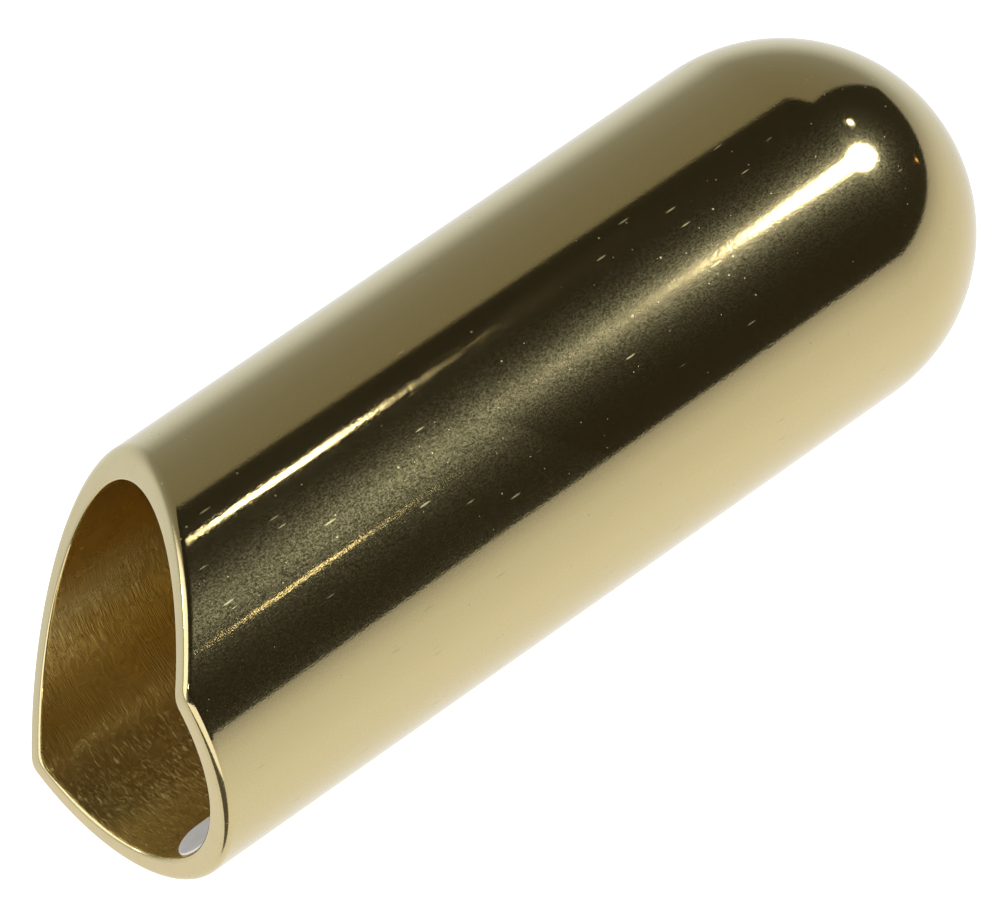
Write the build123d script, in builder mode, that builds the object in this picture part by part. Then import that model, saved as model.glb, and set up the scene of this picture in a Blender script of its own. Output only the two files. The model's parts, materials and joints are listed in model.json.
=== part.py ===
from build123d import *
import os
from math import hypot

# A closed-end finger slide for guitar: a brass tube with a half-ball end and a mouth cut back on one side.
# Millimetres. The origin is the centre of the mouth, on the axis of the bore. +X runs along the axis to the
# closed end. +Z is up as the slide rests on a table: its uncut side is the heavier, so the cut faces +Z.

# ---- driving dimensions ----
outer_diameter = 22.2
bore_diameter = 19.2
overall_length = 63.5

cut_slope = 0.75  # length lost for each millimetre of height, a 3-4-5 slope
ridge_height = -1.5  # where the square end turns into the slanted cut: 1.5 below the axis

ridge_radius = 1.5
outer_rim_radius = 0.5
inner_rim_radius = 0.25

label_length = 12.0
label_width = 7.0
label_corner_radius = 3.0
label_thickness = 0.12
label_setback = 0.35  # from the mouth to the label's near edge

# ---- worked out from them ----
outer_radius = outer_diameter / 2
bore_radius = bore_diameter / 2
tube_end = overall_length - outer_radius  # where the straight tube meets the half-ball end
bore_tip = tube_end + bore_radius
clear_height = outer_radius + 1  # clears the tube, for cutting tools
cut_reach = cut_slope * (outer_radius - ridge_height)  # how far the slanted cut runs along the tube
rim_tolerance = 0.01

os.makedirs("parts", exist_ok=True)


def distance_from_axis(edge):
    """How far the middle of an edge is from the slide's axis."""
    middle = edge @ 0.5
    return hypot(middle.Y, middle.Z)


def rim_edges(part, radius):
    """The edges around the mouth that lie on the wall of the given radius."""
    not_lengthwise = part.edges().filter_by(Axis.X, reverse=True)
    by_the_mouth = not_lengthwise.filter_by(lambda edge: edge.center().X < cut_reach + rim_tolerance)
    return by_the_mouth.filter_by(lambda edge: abs(distance_from_axis(edge) - radius) < rim_tolerance)


# ---- slide body: turned and bored, then the mouth is cut back ----
with BuildPart() as slide_body:
    with BuildSketch(Plane.XZ):
        with BuildLine():
            Line((0, bore_radius), (0, outer_radius))
            Line((0, outer_radius), (tube_end, outer_radius))
            RadiusArc((tube_end, outer_radius), (overall_length, 0), outer_radius)
            Line((overall_length, 0), (bore_tip, 0))
            RadiusArc((bore_tip, 0), (tube_end, bore_radius), -bore_radius)
            Line((tube_end, bore_radius), (0, bore_radius))
        make_face()
    revolve(axis=Axis.X)

    with BuildSketch(Plane.XZ):
        with BuildLine():
            Polyline(
                (0, ridge_height),
                (cut_slope * (clear_height - ridge_height), clear_height),
                (0, clear_height),
                close=True,
            )
        make_face()
    extrude(amount=clear_height, both=True, mode=Mode.SUBTRACT)

    # the two corners of the mouth are eased first, so that the rim's own edges run on round them
    fillet(slide_body.edges().filter_by(Axis.Y), ridge_radius)
    fillet(rim_edges(slide_body, outer_radius), outer_rim_radius)
    fillet(rim_edges(slide_body, bore_radius), inner_rim_radius)

slide_body.part.label = "slide_body"
export_step(slide_body.part, "parts/slide_body.step")


# ---- stick-on label: a thin blank sheet on the wall of the bore, opposite the cut ----
with BuildPart() as stick_on_label:
    with BuildSketch(Plane.YZ.offset(label_setback)):
        Circle(bore_radius)
        Circle(bore_radius - label_thickness, mode=Mode.SUBTRACT)
    extrude(amount=label_length)

    with BuildSketch(Plane.XY):
        with Locations((label_setback + label_length / 2, 0)):
            RectangleRounded(label_length, label_width, label_corner_radius)
    extrude(amount=-outer_radius, mode=Mode.INTERSECT)

stick_on_label.part.label = "stick_on_label"
export_step(stick_on_label.part, "parts/stick_on_label.step")
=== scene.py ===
"""Looks of the closed-end finger slide: its polished body, its label and the studio it lies in."""
import json
import logging
from collections.abc import Callable, Iterator, Sequence
from contextlib import contextmanager
from dataclasses import dataclass, field
from enum import Enum
from math import asin, hypot, pi, radians, sin, sqrt, tan
from typing import Any

import bpy
from mathutils import Euler, Matrix, Vector


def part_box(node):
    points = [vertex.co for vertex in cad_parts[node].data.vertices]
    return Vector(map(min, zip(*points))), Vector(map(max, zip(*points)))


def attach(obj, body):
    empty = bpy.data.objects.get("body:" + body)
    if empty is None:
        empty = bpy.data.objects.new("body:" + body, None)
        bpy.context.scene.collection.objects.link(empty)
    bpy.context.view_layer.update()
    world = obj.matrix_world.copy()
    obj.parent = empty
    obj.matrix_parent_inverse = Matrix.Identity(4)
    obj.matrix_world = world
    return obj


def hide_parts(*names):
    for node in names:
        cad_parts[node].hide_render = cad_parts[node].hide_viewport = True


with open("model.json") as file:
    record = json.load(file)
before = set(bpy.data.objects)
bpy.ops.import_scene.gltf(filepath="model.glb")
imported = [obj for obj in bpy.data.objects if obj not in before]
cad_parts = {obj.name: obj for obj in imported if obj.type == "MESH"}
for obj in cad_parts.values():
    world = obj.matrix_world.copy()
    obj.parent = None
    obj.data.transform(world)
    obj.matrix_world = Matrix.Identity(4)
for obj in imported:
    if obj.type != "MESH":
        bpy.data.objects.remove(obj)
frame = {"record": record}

log = logging.getLogger("finger_slide")

MM = 0.001
SAME_PLACE = 0.001 * MM
FULL_TURN = 2 * pi
Colour = tuple[float, float, float]
Edge = tuple[float, float]


# ---------------------------------------------------------------- bench tools


def deselect_all() -> None:
    """Clears the object selection, so that an operator acts only on what is picked next."""
    bpy.ops.object.select_all(action="DESELECT")


def pick(piece: bpy.types.Object) -> None:
    """Makes one object the only selected one and the active one."""
    deselect_all()
    piece.select_set(True)
    bpy.context.view_layer.objects.active = piece


@contextmanager
def editing(piece: bpy.types.Object, mode: str = "VERT") -> Iterator[None]:
    """Opens a piece in edit mode with nothing selected.

    Args:
        piece: the mesh object to edit.
        mode: what the operators select: VERT, EDGE or FACE.
    """
    pick(piece)
    bpy.ops.object.mode_set(mode="EDIT")
    bpy.ops.mesh.select_mode(type=mode)
    bpy.ops.mesh.select_all(action="DESELECT")
    try:
        yield
    finally:
        bpy.ops.object.mode_set(mode="OBJECT")


def select_vertices(piece: bpy.types.Object, test: Callable[[Vector], bool]) -> None:
    """Selects the vertices of the piece being edited whose place passes a test.

    Args:
        piece: the mesh object, in edit mode.
        test: says of a place, in metres, whether it is wanted.
    """
    bpy.ops.mesh.select_all(action="DESELECT")
    bpy.ops.object.mode_set(mode="OBJECT")
    for vertex in piece.data.vertices:
        vertex.select = test(vertex.co)
    bpy.ops.object.mode_set(mode="EDIT")


def select_faces(piece: bpy.types.Object, test: Callable[[Vector], bool]) -> None:
    """Selects the faces of the piece being edited by where their middle is.

    Args:
        piece: the mesh object, in edit mode with faces as the select mode.
        test: says of a face's middle, in metres, whether it is wanted.
    """
    bpy.ops.mesh.select_all(action="DESELECT")
    bpy.ops.object.mode_set(mode="OBJECT")
    for face in piece.data.polygons:
        face.select = test(face.center)
    bpy.ops.object.mode_set(mode="EDIT")


def extrude_by(step: Vector) -> None:
    """Extrudes the selection by a step and leaves the new end selected."""
    bpy.ops.mesh.extrude_region_move(TRANSFORM_OT_translate={"value": step})


def apply_modifier(piece: bpy.types.Object, kind: str, **settings: Any) -> None:
    """Adds a modifier to a piece and applies it.

    Args:
        piece: the mesh object it works on.
        kind: the modifier's type.
        settings: the modifier's properties.
    """
    pick(piece)
    modifier = piece.modifiers.new(kind.title(), kind)
    for name, value in settings.items():
        setattr(modifier, name, value)
    bpy.ops.object.modifier_apply(modifier=modifier.name)


def distance_from_axis(place: Vector) -> float:
    """How far a place is from the bore's axis, in metres."""
    return hypot(place.y, place.z)


# ------------------------------------------------------------- shader algebra


class Val:
    """A shader socket that takes part in arithmetic, which adds its Math nodes."""

    def __init__(self, sheet: "NodeSheet", socket: bpy.types.NodeSocket) -> None:
        """Wraps one output socket of a node sheet."""
        self.sheet = sheet
        self.socket = socket

    def _math(self, operation: str, *operands: "Val | float") -> "Val":
        """Adds one Math node on these operands."""
        values = dict(enumerate(operands))
        return self.sheet.node("ShaderNodeMath", {"operation": operation}, values)

    def __add__(self, other: "Val | float") -> "Val":
        """Sum."""
        return self._math("ADD", self, other)

    __radd__ = __add__

    def __sub__(self, other: "Val | float") -> "Val":
        """Difference."""
        return self._math("SUBTRACT", self, other)

    def __rsub__(self, other: float) -> "Val":
        """Difference, from a plain number."""
        return self._math("SUBTRACT", other, self)

    def __mul__(self, other: "Val | float") -> "Val":
        """Product."""
        return self._math("MULTIPLY", self, other)

    __rmul__ = __mul__

    def rises(self, start: float, end: float) -> "Val":
        """A soft step from 0 at start to 1 at end, which may also run downwards."""
        values = {"Value": self, "From Min": start, "From Max": end}
        return self.sheet.node("ShaderNodeMapRange", {"interpolation_type": "SMOOTHSTEP"}, values)


class NodeSheet:
    """Writes one node tree: a material's or the world's."""

    def __init__(self, tree: bpy.types.NodeTree) -> None:
        """Empties the tree, so that only what is written here is in it."""
        self.tree = tree
        tree.nodes.clear()

    def node(
        self,
        kind: str,
        settings: dict[str, Any] | None = None,
        values: dict[str | int, Any] | None = None,
        output: str | int = 0,
    ) -> Val:
        """Adds any node.

        Args:
            kind: the node's type.
            settings: its properties, set first. A colour ramp's stops come as "stops".
            values: a number, colour or Val for each input, by name or place.
            output: which output to hand back.

        Returns:
            The chosen output.
        """
        made = self.tree.nodes.new(kind)
        for name, value in (settings or {}).items():
            if name == "stops":
                self._set_stops(made.color_ramp, value)
            else:
                setattr(made, name, value)
        for key, value in (values or {}).items():
            if isinstance(value, Val):
                self.tree.links.new(value.socket, made.inputs[key])
            else:
                made.inputs[key].default_value = value
        return Val(self, made.outputs[output]) if made.outputs else Val(self, None)

    @staticmethod
    def _set_stops(ramp: bpy.types.ColorRamp, stops: Sequence[tuple[float, Colour]]) -> None:
        """Gives a colour ramp its stops."""
        while len(ramp.elements) > 1:
            ramp.elements.remove(ramp.elements[-1])
        ramp.elements[0].position = stops[0][0]
        ramp.elements[0].color = (*stops[0][1], 1)
        for position, colour in stops[1:]:
            ramp.elements.new(position).color = (*colour, 1)

    def place(self, scale: Colour = (1, 1, 1), turn: Colour = (0, 0, 0)) -> Val:
        """The object's own coordinates, in metres, turned and then stretched.

        Args:
            scale: how many times each axis is multiplied.
            turn: how far the pattern is turned about each axis, in radians.

        Returns:
            The coordinates.
        """
        own = self.node("ShaderNodeTexCoord", output="Object")
        values = {"Vector": own, "Rotation": turn, "Scale": scale}
        return self.node("ShaderNodeMapping", {"vector_type": "POINT"}, values)

    def noise(self, where: Val, detail: float = 2.0, rough: float = 0.5, swirl: float = 0.0) -> Val:
        """Soft noise from 0 to 1 on some coordinates, whose scale they carry.

        Args:
            where: the coordinates.
            detail: how many octaves are added.
            rough: how strong each finer octave is.
            swirl: how far the pattern is distorted.

        Returns:
            The noise.
        """
        values = {"Vector": where, "Scale": 1, "Detail": detail, "Roughness": rough, "Distortion": swirl}
        return self.node("ShaderNodeTexNoise", values=values)

    def flecks(self, where: Val, radius: float, keep: float) -> Val:
        """Marks scattered one to a cell, of which only some are kept.

        Args:
            where: the coordinates, whose stretch gives the marks their shape.
            radius: a mark's radius, in cells.
            keep: the share of the cells that have one.

        Returns:
            A mask, 1 in the middle of a mark and 0 outside it.
        """
        cells = {"feature": "F1", "distance": "EUCLIDEAN"}
        values = {"Vector": where, "Scale": 1, "Randomness": 1}
        near = self.node("ShaderNodeTexVoronoi", cells, values, "Distance")
        colour = self.node("ShaderNodeTexVoronoi", cells, values, "Color")
        chance = self.node("ShaderNodeSeparateColor", values={0: colour}, output="Red")
        return near.rises(radius, radius * 0.3) * chance.rises(keep, keep - 0.02)

    def mix(self, factor: Val, low: Any, high: Any) -> Val:
        """Blends two colours.

        Args:
            factor: 0 for the first colour, 1 for the second.
            low: the first colour.
            high: the second colour.

        Returns:
            The blend.
        """
        values = {0: factor, 6: self._rgba(low), 7: self._rgba(high)}
        return self.node("ShaderNodeMix", {"data_type": "RGBA"}, values, 2)

    @staticmethod
    def _rgba(colour: Any) -> Any:
        """A plain colour with its alpha; a Val as it is."""
        return colour if isinstance(colour, Val) else (*colour, 1)

    def ramp(self, value: Val, stops: Sequence[tuple[float, Colour]]) -> Val:
        """Turns a value from 0 to 1 into a colour by its stops."""
        return self.node("ShaderNodeValToRGB", {"stops": stops}, {0: value})

    def bump(self, height: Val, depth: float, under: Val | None = None) -> Val:
        """Turns a height from 0 to 1 into a normal.

        Args:
            height: the relief.
            depth: how deep 1 is, in metres.
            under: a normal that this relief is added to.

        Returns:
            The normal.
        """
        values: dict[str | int, Any] = {"Strength": 1, "Distance": depth, "Height": height}
        if under is not None:
            values["Normal"] = under
        return self.node("ShaderNodeBump", values=values)

    def metal(self, colour: Any, rough: Any, normal: Val | None = None) -> Val:
        """A bare metal surface.

        Args:
            colour: its colour, plain or a Val.
            rough: its roughness, plain or a Val.
            normal: its relief.

        Returns:
            The shader.
        """
        values = {"Base Color": self._rgba(colour), "Roughness": rough, "Metallic": 1}
        if normal is not None:
            values["Normal"] = normal
        return self.node("ShaderNodeBsdfPrincipled", values=values)

    def layered(self, factor: Any, under: Val, over: Val) -> Val:
        """Two surfaces seen through each other in a given share."""
        return self.node("ShaderNodeMixShader", values={0: factor, 1: under, 2: over})


# ------------------------------------------------------------------- finishes


@dataclass(frozen=True)
class Finish:
    """A finish: one material, made once."""

    name: str

    def paint(self, sheet: NodeSheet) -> Val:
        """Writes the finish and returns its shader."""
        raise NotImplementedError

    def material(self) -> bpy.types.Material:
        """Makes the material."""
        made = bpy.data.materials.new(self.name)
        made.use_nodes = True
        sheet = NodeSheet(made.node_tree)
        sheet.node("ShaderNodeOutputMaterial", values={"Surface": self.paint(sheet)})
        return made


@dataclass(frozen=True)
class PolishedBrass(Finish):
    """Buffed brass: a mirror under a thin haze of fine scratches, with knocks and hairlines."""

    name: str = "polished_brass"
    colour: Colour = (0.64, 0.525, 0.28)
    haze_colour: Colour = (0.60, 0.56, 0.31)
    mirror_roughness: float = 0.07
    haze_roughness: float = 0.30
    haze_share: float = 0.105
    grain: float = 0.11 * MM
    grain_depth: float = 0.0024 * MM
    frost_relief: float = 0.6
    hairs_relief: float = 0.4
    even_haze: float = 0.3
    frost_edge: Edge = (0.32, 0.70)
    frost_haze: float = 1.1
    hairs_edge: Edge = (0.42, 0.75)
    hairs_haze: float = 0.7
    hair_stretch: Colour = (0.4, 1.5, 1.5)
    hair_turn: Colour = (0, 0, 0.3)
    patchiness: Colour = (180, 260, 260)
    patch_least: float = 0.7
    patch_swing: float = 0.6
    base_haze: float = 0.42
    handled_from: float = 32 * MM
    handled_to: float = 8 * MM
    handled_haze: float = 0.35
    rubbed_edge: float = 26 * MM
    rubbed_top: float = 2.2 * MM
    rubbed_haze: float = 0.55
    raggedness: float = 4 * MM
    scratch_width: float = 0.09 * MM
    scratch_length: float = 1.3 * MM
    scratch_slant: Colour = (0, 0, 0.5)
    scratch_share: float = 0.7
    scratch_roughness: float = 0.25
    pits_per_metre: float = 1100
    lengthwise_marks: tuple[float, float] = (0.20, 0.10)
    slanting_marks: tuple[float, float] = (0.16, 0.08)
    pit_marks: tuple[float, float] = (0.10, 0.22)

    def paint(self, sheet: NodeSheet) -> Val:
        """Writes the polish, the haze and the scratches."""
        frost = sheet.noise(sheet.place((1 / self.grain,) * 3), detail=1, rough=0.4)
        stretch = tuple(share / self.grain for share in self.hair_stretch)
        hairs = sheet.noise(sheet.place(stretch, self.hair_turn), detail=0)
        relief = sheet.bump(frost * self.frost_relief + hairs * self.hairs_relief, self.grain_depth)
        marks = self.scratches(sheet)
        frosting = frost.rises(*self.frost_edge) * self.frost_haze
        texture = self.even_haze + frosting + hairs.rises(*self.hairs_edge) * self.hairs_haze
        haze = self.handling(sheet) * texture * self.haze_share
        mirror = sheet.metal(self.colour, self.mirror_roughness, relief)
        cloud = sheet.metal(self.haze_colour, self.haze_roughness + marks * self.scratch_roughness, relief)
        return sheet.layered(haze + marks * self.scratch_share, mirror, cloud)

    def handling(self, sheet: NodeSheet) -> Val:
        """Where fingers have dulled the polish: more towards the mouth, with one rubbed patch."""
        patches = sheet.noise(sheet.place(self.patchiness), detail=3, rough=0.6)
        along = sheet.node("ShaderNodeSeparateXYZ", values={0: sheet.place()}, output="X")
        height = sheet.node("ShaderNodeSeparateXYZ", values={0: sheet.place()}, output="Z")
        ragged = along + height + (patches - 0.5) * self.raggedness
        handled = along.rises(self.handled_from, self.handled_to) * self.handled_haze
        rubbed = ragged.rises(self.rubbed_edge, self.rubbed_edge - MM) * height.rises(self.rubbed_top, 0)
        haze = self.base_haze + handled + rubbed * self.rubbed_haze
        return haze * (self.patch_least + patches * self.patch_swing)

    def scratches(self, sheet: NodeSheet) -> Val:
        """Short marks in two directions, few and far between.

        Each kind has a radius, in cells, and the share of the cells that have one.
        """
        across, along = 1 / (4 * self.scratch_width), 1 / (2 * self.scratch_length)
        lengthwise = sheet.flecks(sheet.place((along, across, across)), *self.lengthwise_marks)
        slanted = sheet.place((across, along, across), self.scratch_slant)
        slanting = sheet.flecks(slanted, *self.slanting_marks)
        pits = sheet.flecks(sheet.place((self.pits_per_metre,) * 3), *self.pit_marks)
        return lengthwise + slanting + pits


@dataclass(frozen=True)
class BoredBrass(Finish):
    """The bore as the tool left it: fine rings round the axis, over a duller ground."""

    name: str = "bored_brass"
    colour: Colour = (0.78, 0.60, 0.22)
    stained_colour: Colour = (0.70, 0.49, 0.14)
    bright_roughness: float = 0.22
    dull_roughness: float = 0.60
    dull_share: float = 0.25
    ring_pitch: float = 0.035 * MM
    ring_depth: float = 0.03 * MM
    ring_break: float = 1500
    speckle: float = 0.14 * MM
    speckle_depth: float = 0.004 * MM
    staining: Colour = (120, 300, 300)
    stain_edge: Edge = (0.3, 0.7)
    stain_rough_edge: Edge = (0.35, 0.8)
    stain_roughness: float = 0.1
    stain_dull_edge: Edge = (0.3, 0.8)
    stain_dull: float = 0.1

    def paint(self, sheet: NodeSheet) -> Val:
        """Writes the tool's rings, the speckle between them and the stains."""
        pitch = (1 / self.ring_pitch, self.ring_break, self.ring_break)
        rings = sheet.noise(sheet.place(pitch), detail=1, rough=0.5)
        speckle = sheet.noise(sheet.place((1 / self.speckle,) * 3), detail=1)
        stains = sheet.noise(sheet.place(self.staining), detail=4, rough=0.6)
        relief = sheet.bump(rings, self.ring_depth, sheet.bump(speckle, self.speckle_depth))
        colour = sheet.mix(stains.rises(*self.stain_edge), self.colour, self.stained_colour)
        rougher = stains.rises(*self.stain_rough_edge) * self.stain_roughness
        bright = sheet.metal(colour, self.bright_roughness + rougher, relief)
        dull = sheet.metal(colour, self.dull_roughness, relief)
        duller = stains.rises(*self.stain_dull_edge) * self.stain_dull
        return sheet.layered(self.dull_share + duller, bright, dull)


@dataclass(frozen=True)
class CutBrass(Finish):
    """The cut end: filed flat, then buffed with the outside."""

    name: str = "cut_brass"
    colour: Colour = (0.65, 0.535, 0.295)
    roughness: float = 0.20
    file_pitch: float = 0.10 * MM
    file_depth: float = 0.0010 * MM
    file_slant: Colour = (0.4, 0, 0)
    file_break: tuple[float, float] = (400, 900)
    wear_per_metre: float = 500
    wear_edge: Edge = (0.35, 0.75)
    wear_roughness: float = 0.12

    def paint(self, sheet: NodeSheet) -> Val:
        """Writes the file's fine marks, half buffed away."""
        along, across = self.file_break
        strokes = sheet.noise(sheet.place((along, 1 / self.file_pitch, across), self.file_slant), detail=3)
        wear = sheet.noise(sheet.place((self.wear_per_metre,) * 3), detail=3)
        rough = self.roughness + wear.rises(*self.wear_edge) * self.wear_roughness
        return sheet.metal(self.colour, rough, sheet.bump(strokes, self.file_depth))


@dataclass(frozen=True)
class LabelFilm(Finish):
    """The blank label: pale grey film, faintly mottled and rubbed."""

    name: str = "label_film"
    colour: Colour = (0.92, 0.93, 0.98)
    shade: Colour = (0.86, 0.87, 0.93)
    roughness: float = 0.45
    mottling: Colour = (900, 900, 900)
    mottle_edge: Edge = (0.35, 0.7)
    scuffing: Colour = (600, 5000, 5000)
    scuff_edge: Edge = (0.5, 0.8)
    scuff_roughness: float = 0.2
    relief: float = 0.004 * MM

    def paint(self, sheet: NodeSheet) -> Val:
        """Writes the film's mottling, its scuffs and its tiny relief."""
        mottle = sheet.noise(sheet.place(self.mottling), detail=4, rough=0.6)
        scuffs = sheet.noise(sheet.place(self.scuffing), detail=2)
        values = {
            "Base Color": sheet.mix(mottle.rises(*self.mottle_edge), self.colour, self.shade),
            "Roughness": self.roughness + scuffs.rises(*self.scuff_edge) * self.scuff_roughness,
            "Normal": sheet.bump(mottle, self.relief),
        }
        return sheet.node("ShaderNodeBsdfPrincipled", values=values)


# --------------------------------------------------------------------- pieces


@dataclass
class SlideBody:
    """The body: a turned tube with a half-ball end and a mouth cut square, then slanted back."""

    outer_radius: float
    bore_radius: float
    length: float
    cut_slope: float = 0.75
    ridge_height: float = -1.5 * MM
    ridge_radius: float = 1.5 * MM
    outer_rounding: float = 0.5 * MM
    inner_rounding: float = 0.25 * MM
    support: float = 0.12 * MM
    columns: int = 288
    dome_steps: int = 72
    bore_end_steps: int = 40
    rounding_steps: int = 7
    wall_cuts: int = 15
    fade_share: float = 0.8
    piece: bpy.types.Object = field(init=False)

    def build(self) -> bpy.types.Object:
        """Turns the wall, cuts the mouth and dresses the surfaces.

        Returns:
            The finished piece.
        """
        self._draw_outline()
        self._round_the_rim()
        self._turn_on_the_axis()
        self._slant_the_mouth()
        self._dress()
        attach(self.piece, "root")
        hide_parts("slide_body")
        return self.piece

    @property
    def tube_end(self) -> float:
        """Where the straight tube ends and the half ball starts."""
        return self.length - self.outer_radius

    def _draw_outline(self) -> None:
        """Draws half of the wall's section, from the half ball's tip to the bore's far end."""
        deselect_all()
        bpy.ops.mesh.primitive_plane_add(size=MM, location=(self.length, 0, 0))
        self.piece = bpy.context.object
        self.piece.name = self.piece.data.name = "polished_body"
        bpy.ops.object.transform_apply(location=True)
        with editing(self.piece):
            bpy.ops.mesh.select_all(action="SELECT")
            bpy.ops.mesh.merge(type="CENTER")
            self._sweep_quarter(self.dome_steps, 1)
            wall = self.tube_end - 2 * self.support - self.outer_rounding
            extrude_by(Vector((-self.support, 0, 0)))
            extrude_by(Vector((-wall, 0, 0)))
            extrude_by(Vector((-self.outer_rounding - self.support, 0, 0)))
            extrude_by(Vector((0, 0, self.bore_radius - self.outer_radius)))
            extrude_by(Vector((self.inner_rounding + self.support, 0, 0)))
            extrude_by(Vector((self.tube_end - self.inner_rounding - 2 * self.support, 0, 0)))
            extrude_by(Vector((self.support, 0, 0)))
            self._sweep_quarter(self.bore_end_steps, -1)
            self._divide_the_walls()

    def _sweep_quarter(self, steps: int, sense: int) -> None:
        """Sweeps the selected end of the outline a quarter turn about the half ball's centre."""
        bpy.ops.mesh.spin(
            steps=steps, angle=sense * pi / 2, center=(self.tube_end, 0, 0), axis=(0, 1, 0)
        )

    def _divide_the_walls(self) -> None:
        """Divides the two long straight lines of the outline."""
        bpy.ops.mesh.select_mode(type="EDGE")
        bpy.ops.mesh.select_all(action="DESELECT")
        bpy.ops.object.mode_set(mode="OBJECT")
        places = self.piece.data.vertices
        for edge in self.piece.data.edges:
            ends = [places[i].co for i in edge.vertices]
            edge.select = (ends[0] - ends[1]).length > self.tube_end / 2
        bpy.ops.object.mode_set(mode="EDIT")
        bpy.ops.mesh.subdivide(number_cuts=self.wall_cuts)

    def _round_the_rim(self) -> None:
        """Rounds the outline's two corners at the mouth."""
        corners = ((self.outer_radius, self.outer_rounding), (self.bore_radius, self.inner_rounding))
        for radius, rounding in corners:
            with editing(self.piece):
                corner = Vector((0, 0, radius))
                select_vertices(self.piece, lambda place: (place - corner).length < 10 * SAME_PLACE)
                bpy.ops.mesh.bevel(
                    offset=rounding, segments=self.rounding_steps, affect="VERTICES", clamp_overlap=False
                )

    def _turn_on_the_axis(self) -> None:
        """Spins the outline round the axis, and closes the seam and both poles."""
        with editing(self.piece):
            bpy.ops.mesh.select_all(action="SELECT")
            bpy.ops.mesh.spin(
                steps=self.columns, angle=FULL_TURN, center=(0, 0, 0), axis=(1, 0, 0)
            )
            bpy.ops.mesh.select_all(action="SELECT")
            bpy.ops.mesh.remove_doubles(threshold=SAME_PLACE)
            bpy.ops.mesh.normals_make_consistent(inside=False)

    def cut_depth(self, height: float) -> float:
        """How far back from the mouth's square end the cut is at one height.

        Args:
            height: the height above the axis, in metres.

        Returns:
            The depth along the axis, in metres.
        """
        slant = asin(self.cut_slope / hypot(1, self.cut_slope))
        past = height - self.ridge_height + self.ridge_radius * tan(slant / 2)
        if past <= 0:
            return 0.0
        if past < self.ridge_radius * sin(slant):
            return self.ridge_radius - sqrt(self.ridge_radius**2 - past**2)
        return self.cut_slope * (height - self.ridge_height)

    def _slant_the_mouth(self) -> None:
        """Slides the mouth's end of the wall back along the axis, by the cut's depth at each height."""
        deepest = self.cut_depth(self.outer_radius)
        end, fades_at = self.outer_rounding + self.support, self.fade_share * self.tube_end
        group = self.piece.vertex_groups.new(name="mouth")
        for vertex in self.piece.data.vertices:
            share = min(max((fades_at - vertex.co.x) / (fades_at - end), 0), 1)
            depth = self.cut_depth(vertex.co.z) * share
            group.add([vertex.index], depth / deepest, "REPLACE")
        apply_modifier(
            self.piece, "DISPLACE", direction="X", strength=deepest, mid_level=0, vertex_group="mouth"
        )
        self.piece.vertex_groups.clear()

    def _dress(self) -> None:
        """Gives the outside, the bore and the cut end their finishes."""
        for finish in (PolishedBrass(), BoredBrass(), CutBrass()):
            self.piece.data.materials.append(finish.material())
        bored = self.bore_radius + 0.1 * self.inner_rounding
        inner = self.bore_radius + 0.9 * self.inner_rounding
        outer = self.outer_radius - 0.9 * self.outer_rounding
        near_mouth = self.cut_depth(self.outer_radius) + self.support
        tests: list[Callable[[Vector], bool]] = [
            lambda middle: distance_from_axis(middle) < bored and middle.x < self.tube_end,
            lambda middle: (middle - Vector((self.tube_end, 0, 0))).length < bored,
            lambda middle: inner < distance_from_axis(middle) < outer and middle.x < near_mouth,
        ]
        with editing(self.piece, "FACE"):
            for test, finish_slot in zip(tests, (1, 1, 2)):
                select_faces(self.piece, test)
                self.piece.active_material_index = finish_slot
                bpy.ops.object.material_slot_assign()
            bpy.ops.mesh.select_all(action="SELECT")
            bpy.ops.mesh.faces_shade_smooth()


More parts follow.
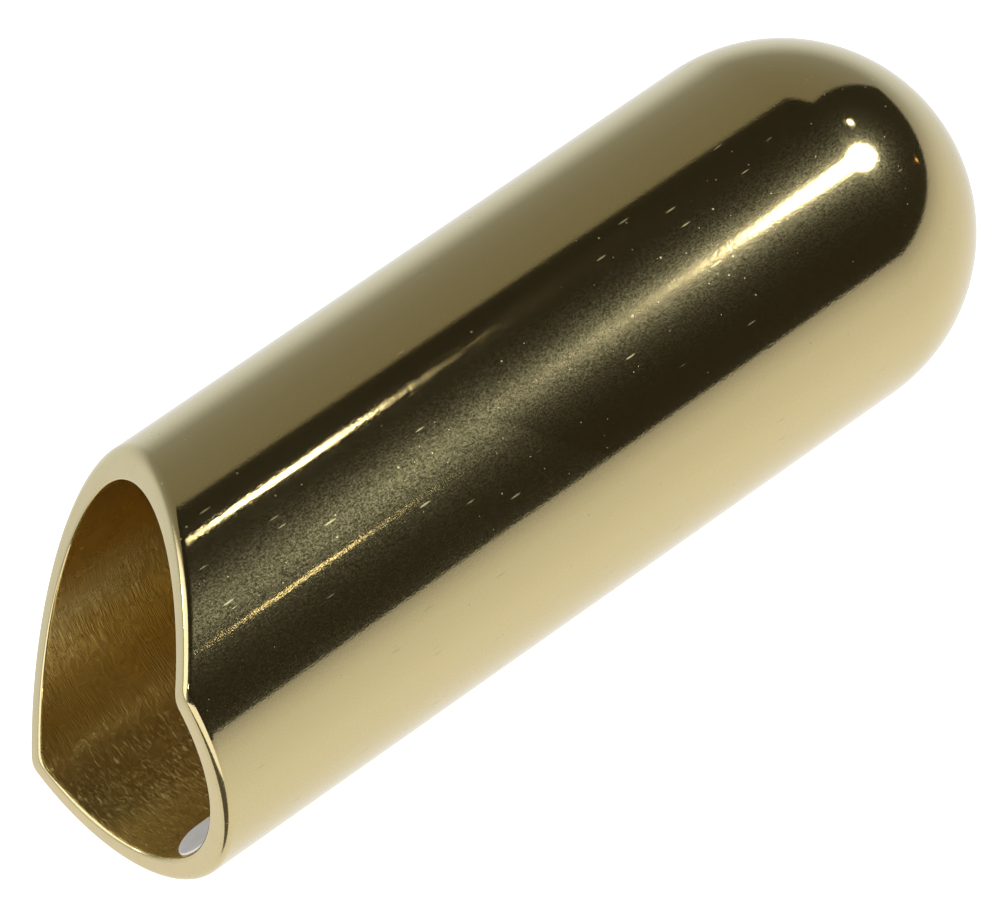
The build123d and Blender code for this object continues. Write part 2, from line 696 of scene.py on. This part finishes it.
@dataclass
class StickOnLabel:
    """The blank label on the bore's wall: a thin rounded film."""

    low: Vector
    high: Vector
    bore_radius: float
    thickness: float = 0.11 * MM
    corner_radius: float = 3.0 * MM
    corner_steps: int = 10
    strips: int = 40
    rows: int = 24
    edge_rounding: float = 0.03 * MM
    former_sides: int = 720
    piece: bpy.types.Object = field(init=False)

    def build(self) -> bpy.types.Object:
        """Cuts the film to shape, lays it on the wall and dresses it.

        Returns:
            The finished piece.
        """
        self._cut_out()
        self._score()
        self._lay_on_the_wall()
        self._thicken()
        self.piece.data.materials.clear()
        self.piece.data.materials.append(LabelFilm().material())
        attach(self.piece, "root")
        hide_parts("stick_on_label")
        return self.piece

    def _cut_out(self) -> None:
        """Makes the flat film with its rounded corners, under the axis."""
        middle = (self.low + self.high) / 2
        size = self.high - self.low
        deselect_all()
        bpy.ops.mesh.primitive_plane_add(size=1, location=(middle.x, middle.y, -self.bore_radius / 2))
        self.piece = bpy.context.object
        self.piece.name = self.piece.data.name = "blank_label"
        self.piece.scale = (size.x, size.y, 1)
        bpy.ops.object.transform_apply(location=True, scale=True)
        with editing(self.piece):
            bpy.ops.mesh.select_all(action="SELECT")
            bpy.ops.mesh.bevel(
                offset=self.corner_radius, segments=self.corner_steps, affect="VERTICES"
            )

    def _score(self) -> None:
        """Divides the film in strips and rows, so that it can follow the wall."""
        size = self.high - self.low
        cuts = [((0, self.low.y + size.y * i / self.strips, 0), (0, 1, 0)) for i in range(1, self.strips)]
        cuts += [((self.low.x + size.x * i / self.rows, 0, 0), (1, 0, 0)) for i in range(1, self.rows)]
        with editing(self.piece):
            for place, normal in cuts:
                bpy.ops.mesh.select_all(action="SELECT")
                bpy.ops.mesh.bisect(plane_co=place, plane_no=normal)

    def _lay_on_the_wall(self) -> None:
        """Drops the film straight down on a round former as wide as the bore."""
        middle = (self.low + self.high) / 2
        length = 2 * (self.high.x - self.low.x)
        deselect_all()
        bpy.ops.mesh.primitive_cylinder_add(
            vertices=self.former_sides, radius=self.bore_radius, depth=length,
            end_fill_type="NOTHING", location=(middle.x, 0, 0), rotation=(0, pi / 2, 0),
        )
        former = bpy.context.object
        apply_modifier(
            self.piece, "SHRINKWRAP", target=former, wrap_method="PROJECT", use_project_z=True,
            use_negative_direction=True, use_positive_direction=False,
        )
        bpy.data.objects.remove(former)

    def _thicken(self) -> None:
        """Gives the film its thickness towards the axis, and eases its edge."""
        with editing(self.piece):
            bpy.ops.mesh.select_all(action="SELECT")
            bpy.ops.mesh.remove_doubles(threshold=SAME_PLACE)
            bpy.ops.mesh.normals_make_consistent(inside=False)
        if self.piece.data.polygons[0].normal.z < 0:
            with editing(self.piece):
                bpy.ops.mesh.select_all(action="SELECT")
                bpy.ops.mesh.flip_normals()
        apply_modifier(self.piece, "SOLIDIFY", thickness=self.thickness, offset=1)
        apply_modifier(
            self.piece, "BEVEL", width=self.edge_rounding, segments=3, limit_method="ANGLE",
            angle_limit=radians(60),
        )
        pick(self.piece)
        bpy.ops.object.shade_smooth_by_angle(angle=radians(50))


# --------------------------------------------------------------------- studio


class Side(Enum):
    """The two sides of the studio, as seen from the camera."""

    NEAR = "near"
    FAR = "far"


@dataclass(frozen=True)
class Lamp:
    """One oval lamp, placed by its direction from a spot on the axis."""

    name: str
    spot: float
    direction: Colour
    length: float
    width: float
    radiance: float
    tint: Colour


@dataclass
class Studio:
    """A white sweep, a dark room above it and a few lamps, all turned with the slide's roll.

    An Edge holds the two values of a direction's part between which something fades in.
    """

    outer_radius: float
    roll: float = radians(52.05)
    lamp_distance: float = 0.444
    floor_side: float = 60.0
    floor_glow: float = 0.85
    floor_colour: Colour = (0.86, 0.86, 0.85)
    backdrop: float = 1.25
    backdrop_lean: float = 0.25
    backdrop_slant: float = 0.33
    backdrop_edge: Edge = (-0.01, 0.02)
    backdrop_top: Edge = (0.735, 0.715)
    horizon: Edge = (0.075, 0.055)
    floor_turn: Edge = (-0.2, 0.35)
    shadow_colour: Colour = (0.12, 0.11, 0.09)
    shadow_right: Edge = (-0.22, -0.36)
    shadow_back: Edge = (-0.05, -0.15)
    dark_colour: Colour = (0.032, 0.028, 0.020)
    dark_overhead: Colour = (0.022, 0.019, 0.013)
    high_card_glow: float = 1.8
    high_card_right: Edge = (-0.30, -0.45)
    high_card_up: Edge = (0.85, 0.80)
    high_card_back: Edge = (-0.05, 0.05)
    low_card_glow: float = 1.5
    low_card_right: Edge = (-0.22, -0.26)
    low_card_back: Edge = (-0.1, -0.15)
    low_card_top: float = 0.42
    low_card_foot: float = 0.47
    low_card_softness: float = 0.02

    def build(self) -> None:
        """Lays the floor, paints the surroundings and hangs the lamps."""
        self._lay_floor()
        self._paint_surroundings()
        for lamp in self.lamps():
            self._hang(lamp)

    def lamps(self) -> list[Lamp]:
        """The key lamp, and the small bulbs over the tube and before the mouth."""
        r = self.outer_radius
        warm, amber = (1, 0.95, 0.80), (1, 0.90, 0.60)
        return [
            Lamp("key_lamp", 4.73 * r, (0.610, -0.316, 0.727), 13.1 * r, 8.4 * r, 48, (1, 0.98, 0.92)),
            Lamp("high_bulb", 0.9 * r, (0.436, 0.225, 0.871), 1.2 * r, 0.8 * r, 40, warm),
            Lamp("low_bulb", 0.6 * r, (0.433, -0.592, 0.680), 0.9 * r, 0.6 * r, 7, amber),
            Lamp("side_bulb", 4.88 * r, (0.722, 0.014, 0.691), 1.5 * r, 1.5 * r, 25, warm),
            Lamp("end_bulb", 4.88 * r, (0.948, -0.256, 0.191), 1.2 * r, 1.2 * r, 2, (1, 0.55, 0.15)),
            Lamp("mouth_bulb", 0.0, (-0.45, -0.28, 0.85), 4 * r, 4 * r, 14, warm),
            Lamp("far_mouth_bulb", 0.0, (-0.50, 0.85, 0.17), 4 * r, 4 * r, 18, warm),
        ]

    def turned(self, direction: Colour) -> Vector:
        """A studio direction, turned with the slide's roll."""
        return Euler((self.roll, 0, 0)).to_matrix() @ Vector(direction).normalized()

    def _hang(self, lamp: Lamp) -> None:
        """Adds an oval lamp that faces its spot on the tube, its length turned along the slide."""
        aim = self.turned(lamp.direction)
        along = (Vector((1, 0, 0)) - aim * aim.x).normalized()
        data = bpy.data.lights.new(lamp.name, "AREA")
        data.shape = "ELLIPSE"
        data.size, data.size_y = lamp.length, lamp.width
        data.color = lamp.tint
        data.energy = lamp.radiance * pi * (pi / 4 * lamp.length * lamp.width)
        made = bpy.data.objects.new(lamp.name, data)
        turn = Matrix((along, aim.cross(along), aim)).transposed().to_4x4()
        place = Vector((lamp.spot, 0, 0)) + aim * (self.lamp_distance + self.outer_radius)
        made.matrix_world = Matrix.Translation(place) @ turn
        made.visible_camera = False
        bpy.context.scene.collection.objects.link(made)

    def _lay_floor(self) -> None:
        """Lays the pale floor under the slide."""
        deselect_all()
        bpy.ops.mesh.primitive_plane_add(size=self.floor_side, location=(0, 0, -self.outer_radius))
        floor = bpy.context.object
        floor.name = "floor"
        floor.visible_glossy = False
        paper = bpy.data.materials.new("pale_floor")
        paper.use_nodes = True
        sheet = NodeSheet(paper.node_tree)
        values = {
            "Base Color": (*self.floor_colour, 1),
            "Roughness": 0.9,
            "Emission Color": (1, 1, 1, 1),
            "Emission Strength": self.floor_glow,
        }
        surface = sheet.node("ShaderNodeBsdfPrincipled", values=values)
        sheet.node("ShaderNodeOutputMaterial", values={"Surface": surface})
        floor.data.materials.append(paper)

    def _paint_surroundings(self) -> None:
        """Paints what the polish mirrors; straight behind the slide the air is plain white."""
        world = bpy.data.worlds.new("studio")
        world.use_nodes = True
        bpy.context.scene.world = world
        sheet = NodeSheet(world.node_tree)
        way = sheet.node("ShaderNodeTexCoord", output="Generated")
        turned = sheet.node(
            "ShaderNodeVectorRotate", {"rotation_type": "X_AXIS"}, {"Vector": way, "Angle": -self.roll}
        )
        parts = [sheet.node("ShaderNodeSeparateXYZ", values={0: turned}, output=i) for i in range(3)]
        mirrored = self._room(sheet, *parts)
        seen = sheet.node("ShaderNodeLightPath", output="Is Camera Ray")
        colour = sheet.mix(seen, mirrored, (self.backdrop,) * 3)
        shader = sheet.node("ShaderNodeBackground", values={"Color": colour, "Strength": 1})
        sheet.node("ShaderNodeOutputWorld", values={"Surface": shader})

    def _room(self, sheet: NodeSheet, right: Val, back: Val, up: Val) -> Val:
        """The white sweep, its shaded upright part, the dark room over them and the cards by the mouth.

        Args:
            sheet: the world's node sheet.
            right: a direction's part along the slide.
            back: its part away from the camera.
            up: its part upwards.

        Returns:
            The colour in that direction.
        """
        level = up * 0.5 + 0.5
        near = sheet.ramp(level, self.floor_shades(Side.NEAR))
        far = sheet.ramp(level, self.floor_shades(Side.FAR))
        floor = sheet.mix(back.rises(*self.floor_turn), near, far)
        shadow = right.rises(*self.shadow_right) * back.rises(*self.shadow_back)
        floor = sheet.mix(shadow, floor, self.shadow_colour)
        leaning = back - right * (up * self.backdrop_lean + self.backdrop_slant)
        upright = leaning.rises(*self.backdrop_edge) * up.rises(*self.backdrop_top)
        dark = sheet.ramp(level, [(0.5, self.dark_colour), (1.0, self.dark_overhead)])
        room = sheet.mix(upright, dark, far)
        high_card = right.rises(*self.high_card_right) * up.rises(*self.high_card_up)
        high_card = high_card * back.rises(*self.high_card_back)
        above = sheet.mix(high_card, room, (self.high_card_glow,) * 3)
        open_room = sheet.mix(up.rises(*self.horizon), above, floor)
        soft = self.low_card_softness
        top = (up - back * self.low_card_top).rises(-soft, soft)
        foot = (up + back * self.low_card_foot).rises(soft, -soft)
        low_card = top * foot * right.rises(*self.low_card_right) * back.rises(*self.low_card_back)
        return sheet.mix(low_card, open_room, (self.low_card_glow,) * 3)

    @staticmethod
    def floor_shades(side: Side) -> list[tuple[float, Colour]]:
        """The sweep's brightness from straight down, at 0, to straight up, at 1."""
        if side is Side.NEAR:
            greys = [(0.17, 1.0), (0.27, 0.93), (0.38, 0.85), (0.45, 0.72), (0.505, 0.54), (0.54, 0.42)]
            return [(at, (grey, grey, grey * 0.97)) for at, grey in greys]
        return [
            (0.10, (1.0, 1.0, 1.0)),
            (0.235, (0.88, 0.91, 0.93)),
            (0.345, (0.80, 0.85, 0.87)),
            (0.405, (0.69, 0.74, 0.78)),
            (0.465, (0.50, 0.53, 0.54)),
            (0.527, (0.335, 0.345, 0.325)),
            (0.59, (0.31, 0.315, 0.285)),
            (0.70, (0.28, 0.27, 0.225)),
            (0.85, (0.262, 0.247, 0.182)),
        ]


@dataclass
class ViewCamera:
    """The camera: a long lens, rolled with the slide."""

    outer_radius: float
    back: Colour = (-0.4571, -0.8867, 0.0690)
    up: Colour = (0.5058, -0.1954, 0.8402)
    place: Colour = (-20.985, -45.895, 3.468)
    lens: float = 370.3
    sensor: float = 36.0

    def build(self) -> None:
        """Makes the camera and hands it to the scene."""
        back = Vector(self.back).normalized()
        right = Vector(self.up).cross(back).normalized()
        up = back.cross(right)
        data = bpy.data.cameras.new("view_camera")
        data.lens = self.lens
        data.sensor_width = self.sensor
        data.clip_start, data.clip_end = 0.01, 200
        made = bpy.data.objects.new("view_camera", data)
        turn = Matrix((right, up, back)).transposed()
        made.matrix_world = Matrix.Translation(Vector(self.place) * self.outer_radius) @ turn.to_4x4()
        bpy.context.scene.collection.objects.link(made)
        bpy.context.scene.camera = made


def main() -> None:
    """Builds the slide and the studio."""
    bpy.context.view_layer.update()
    low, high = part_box("slide_body")
    mounts = {mount["name"]: mount for mount in frame["record"]["mounts"]}
    bore_radius = mounts["finger_bore"]["dims"]["r_mm"] * MM
    outer_radius = high.z
    body = SlideBody(outer_radius, bore_radius, high.x - low.x).build()
    log.info("%s: %d faces", body.name, len(body.data.polygons))
    label = StickOnLabel(*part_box("stick_on_label"), bore_radius).build()
    log.info("%s: %d faces", label.name, len(label.data.polygons))
    Studio(outer_radius).build()
    ViewCamera(outer_radius).build()
    bpy.context.scene.view_settings.view_transform = "Standard"


if __name__ == "__main__":
    logging.basicConfig(level=logging.INFO)
    main()
